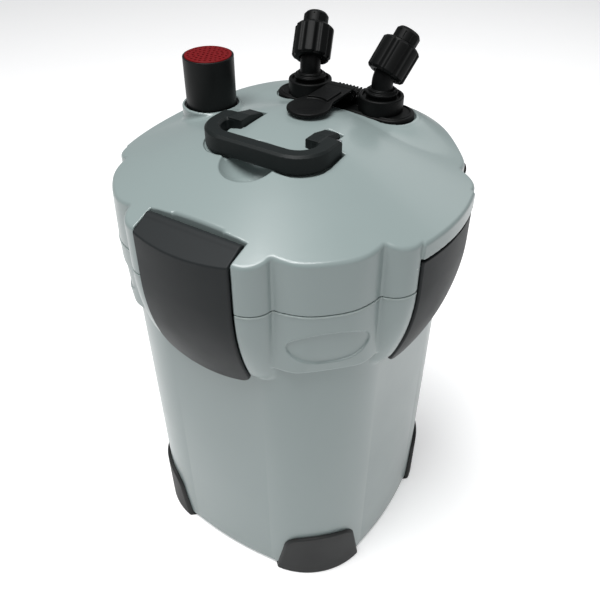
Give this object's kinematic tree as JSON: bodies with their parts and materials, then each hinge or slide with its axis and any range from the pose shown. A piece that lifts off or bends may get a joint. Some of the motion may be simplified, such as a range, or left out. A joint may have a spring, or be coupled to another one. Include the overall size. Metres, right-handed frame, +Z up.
{
  "type": "canister filter",
  "caption": "External aquarium canister filter: bucket with media baskets, domed pump head with clips, carry handle, primer button and swivelling hose taps.",
  "frame": {"origin": "centre of the footprint on the ground", "axes": "+Z up, -Y the front with the facet clip, +Y the valve side, +X the right when seen from the front"},
  "size_m": [0.281, 0.28, 0.4488],
  "materials": {
    "black_plastic": "satin black",
    "ceramic": "polished ceramic",
    "ceramic_media": "porous cream ceramic",
    "clip_grey": "satin dark grey",
    "foot": "satin dark grey",
    "handle_grey": "satin dark grey",
    "inner_plastic": "satin charcoal",
    "potting": "potting resin black",
    "red_plastic": "satin red",
    "rubber": "soft black rubber",
    "shell": "glossy light grey, faint blue-green",
    "sponge": "open-cell blue foam",
    "steel": "stainless",
    "white_plastic": "off-white",
    "wool": "white filter wool"
  },
  "bodies": {
    "canister": {"canister_bucket": "shell", "foot_pad_front_right": "foot", "foot_pad_back_right": "foot", "foot_pad_back_left": "foot", "foot_pad_front_left": "foot", "media_basket_lower": "inner_plastic", "media_basket_middle": "inner_plastic", "media_basket_upper": "inner_plastic", "filter_rings_block": "ceramic_media", "filter_wool_block": "wool", "filter_sponge_block": "sponge", "intake_down_pipe": "inner_plastic"},
    "head": {"head_cover": "shell", "head_base": "inner_plastic", "seal_ring": "rubber", "motor_stator": "potting", "rotor_shaft": "ceramic", "shaft_bushes": "ceramic", "impeller_cover": "inner_plastic", "primer_cylinder": "potting", "primer_spring": "steel", "handle_pins": "steel", "clip_pins": "steel", "head_screws": "steel", "cord_gland": "rubber"},
    "rotor": {"rotor_magnet": "potting", "impeller_wheel": "red_plastic"},
    "primer": {"primer_plunger": "handle_grey", "primer_cap": "red_plastic"},
    "handle": {"carry_handle": "handle_grey"},
    "valve_block": {"valve_plate": "black_plastic", "valve_body_left": "black_plastic", "valve_body_right": "black_plastic", "lock_collar_left": "black_plastic", "lock_collar_right": "black_plastic", "valve_seals": "rubber"},
    "lever": {"valve_lever": "black_plastic", "valve_shaft": "steel", "valve_ball_left": "white_plastic", "valve_ball_right": "white_plastic"},
    "tap_left": {"elbow_left": "black_plastic", "hose_tail_left": "black_plastic"},
    "tap_right": {"elbow_right": "black_plastic", "hose_tail_right": "black_plastic"},
    "nut_left": {"hose_nut_left": "black_plastic"},
    "nut_right": {"hose_nut_right": "black_plastic"},
    "clip_front": {"clip_plate_front": "clip_grey", "clip_hook_front": "black_plastic"},
    "clip_right": {"clip_plate_right": "clip_grey", "clip_hook_right": "black_plastic"},
    "clip_back": {"clip_plate_back": "clip_grey", "clip_hook_back": "black_plastic"},
    "clip_left": {"clip_plate_left": "clip_grey", "clip_hook_left": "black_plastic"}
  },
  "joints": [
    {"name": "head_lift", "type": "slide", "parent": "canister", "child": "head", "axis": [0, 0, 1], "range_m": [0, 0.16]},
    {"name": "rotor_spin", "type": "hinge", "parent": "head", "child": "rotor", "pos_m": [0, -0.025, 0.28], "axis": [0, 0, 1], "continuous": true},
    {"name": "primer_push", "type": "slide", "parent": "head", "child": "primer", "axis": [0, 0, 1], "range_m": [-0.03, 0], "stiffness_N_per_m": 150, "springref_m": 0.01, "deforming": ["primer_spring"]},
    {"name": "handle_swing", "type": "hinge", "parent": "head", "child": "handle", "pos_m": [0, 0, 0.393], "axis": [-1, 0, 0], "range_deg": [0, 90]},
    {"name": "valve_block_lift", "type": "slide", "parent": "head", "child": "valve_block", "axis": [0, 0, 1], "range_m": [0, 0.05]},
    {"name": "lever_swing", "type": "hinge", "parent": "valve_block", "child": "lever", "pos_m": [0, 0.08, 0.3925], "axis": [-1, 0, 0], "range_deg": [0, 80]},
    {"name": "tap_left_swivel", "type": "hinge", "parent": "valve_block", "child": "tap_left", "pos_m": [-0.0335, 0.08, 0.405], "axis": [0, 0, 1], "range_deg": [-11, 119]},
    {"name": "nut_left_turn", "type": "hinge", "parent": "tap_left", "child": "nut_left", "pos_m": [-0.03696, 0.089, 0.42449], "axis": [-0.2304, 0.6001, 0.766], "continuous": true},
    {"name": "tap_right_swivel", "type": "hinge", "parent": "valve_block", "child": "tap_right", "pos_m": [0.0335, 0.08, 0.405], "axis": [0, 0, 1], "range_deg": [-120, 10]},
    {"name": "nut_right_turn", "type": "hinge", "parent": "tap_right", "child": "nut_right", "pos_m": [0.0368, 0.08906, 0.42449], "axis": [0.2198, 0.604, 0.766], "continuous": true},
    {"name": "clip_front_swing", "type": "hinge", "parent": "head", "child": "clip_front", "pos_m": [0, -0.1186, 0.364], "axis": [-1, 0, 0], "range_deg": [0, 75]},
    {"name": "clip_right_swing", "type": "hinge", "parent": "head", "child": "clip_right", "pos_m": [0.1315, 0, 0.3425], "axis": [0, -1, 0], "range_deg": [0, 60]},
    {"name": "clip_back_swing", "type": "hinge", "parent": "head", "child": "clip_back", "pos_m": [0, 0.1186, 0.364], "axis": [1, 0, 0], "range_deg": [0, 75]},
    {"name": "clip_left_swing", "type": "hinge", "parent": "head", "child": "clip_left", "pos_m": [-0.1315, 0, 0.3425], "axis": [0, 1, 0], "range_deg": [0, 60]}
  ]
}
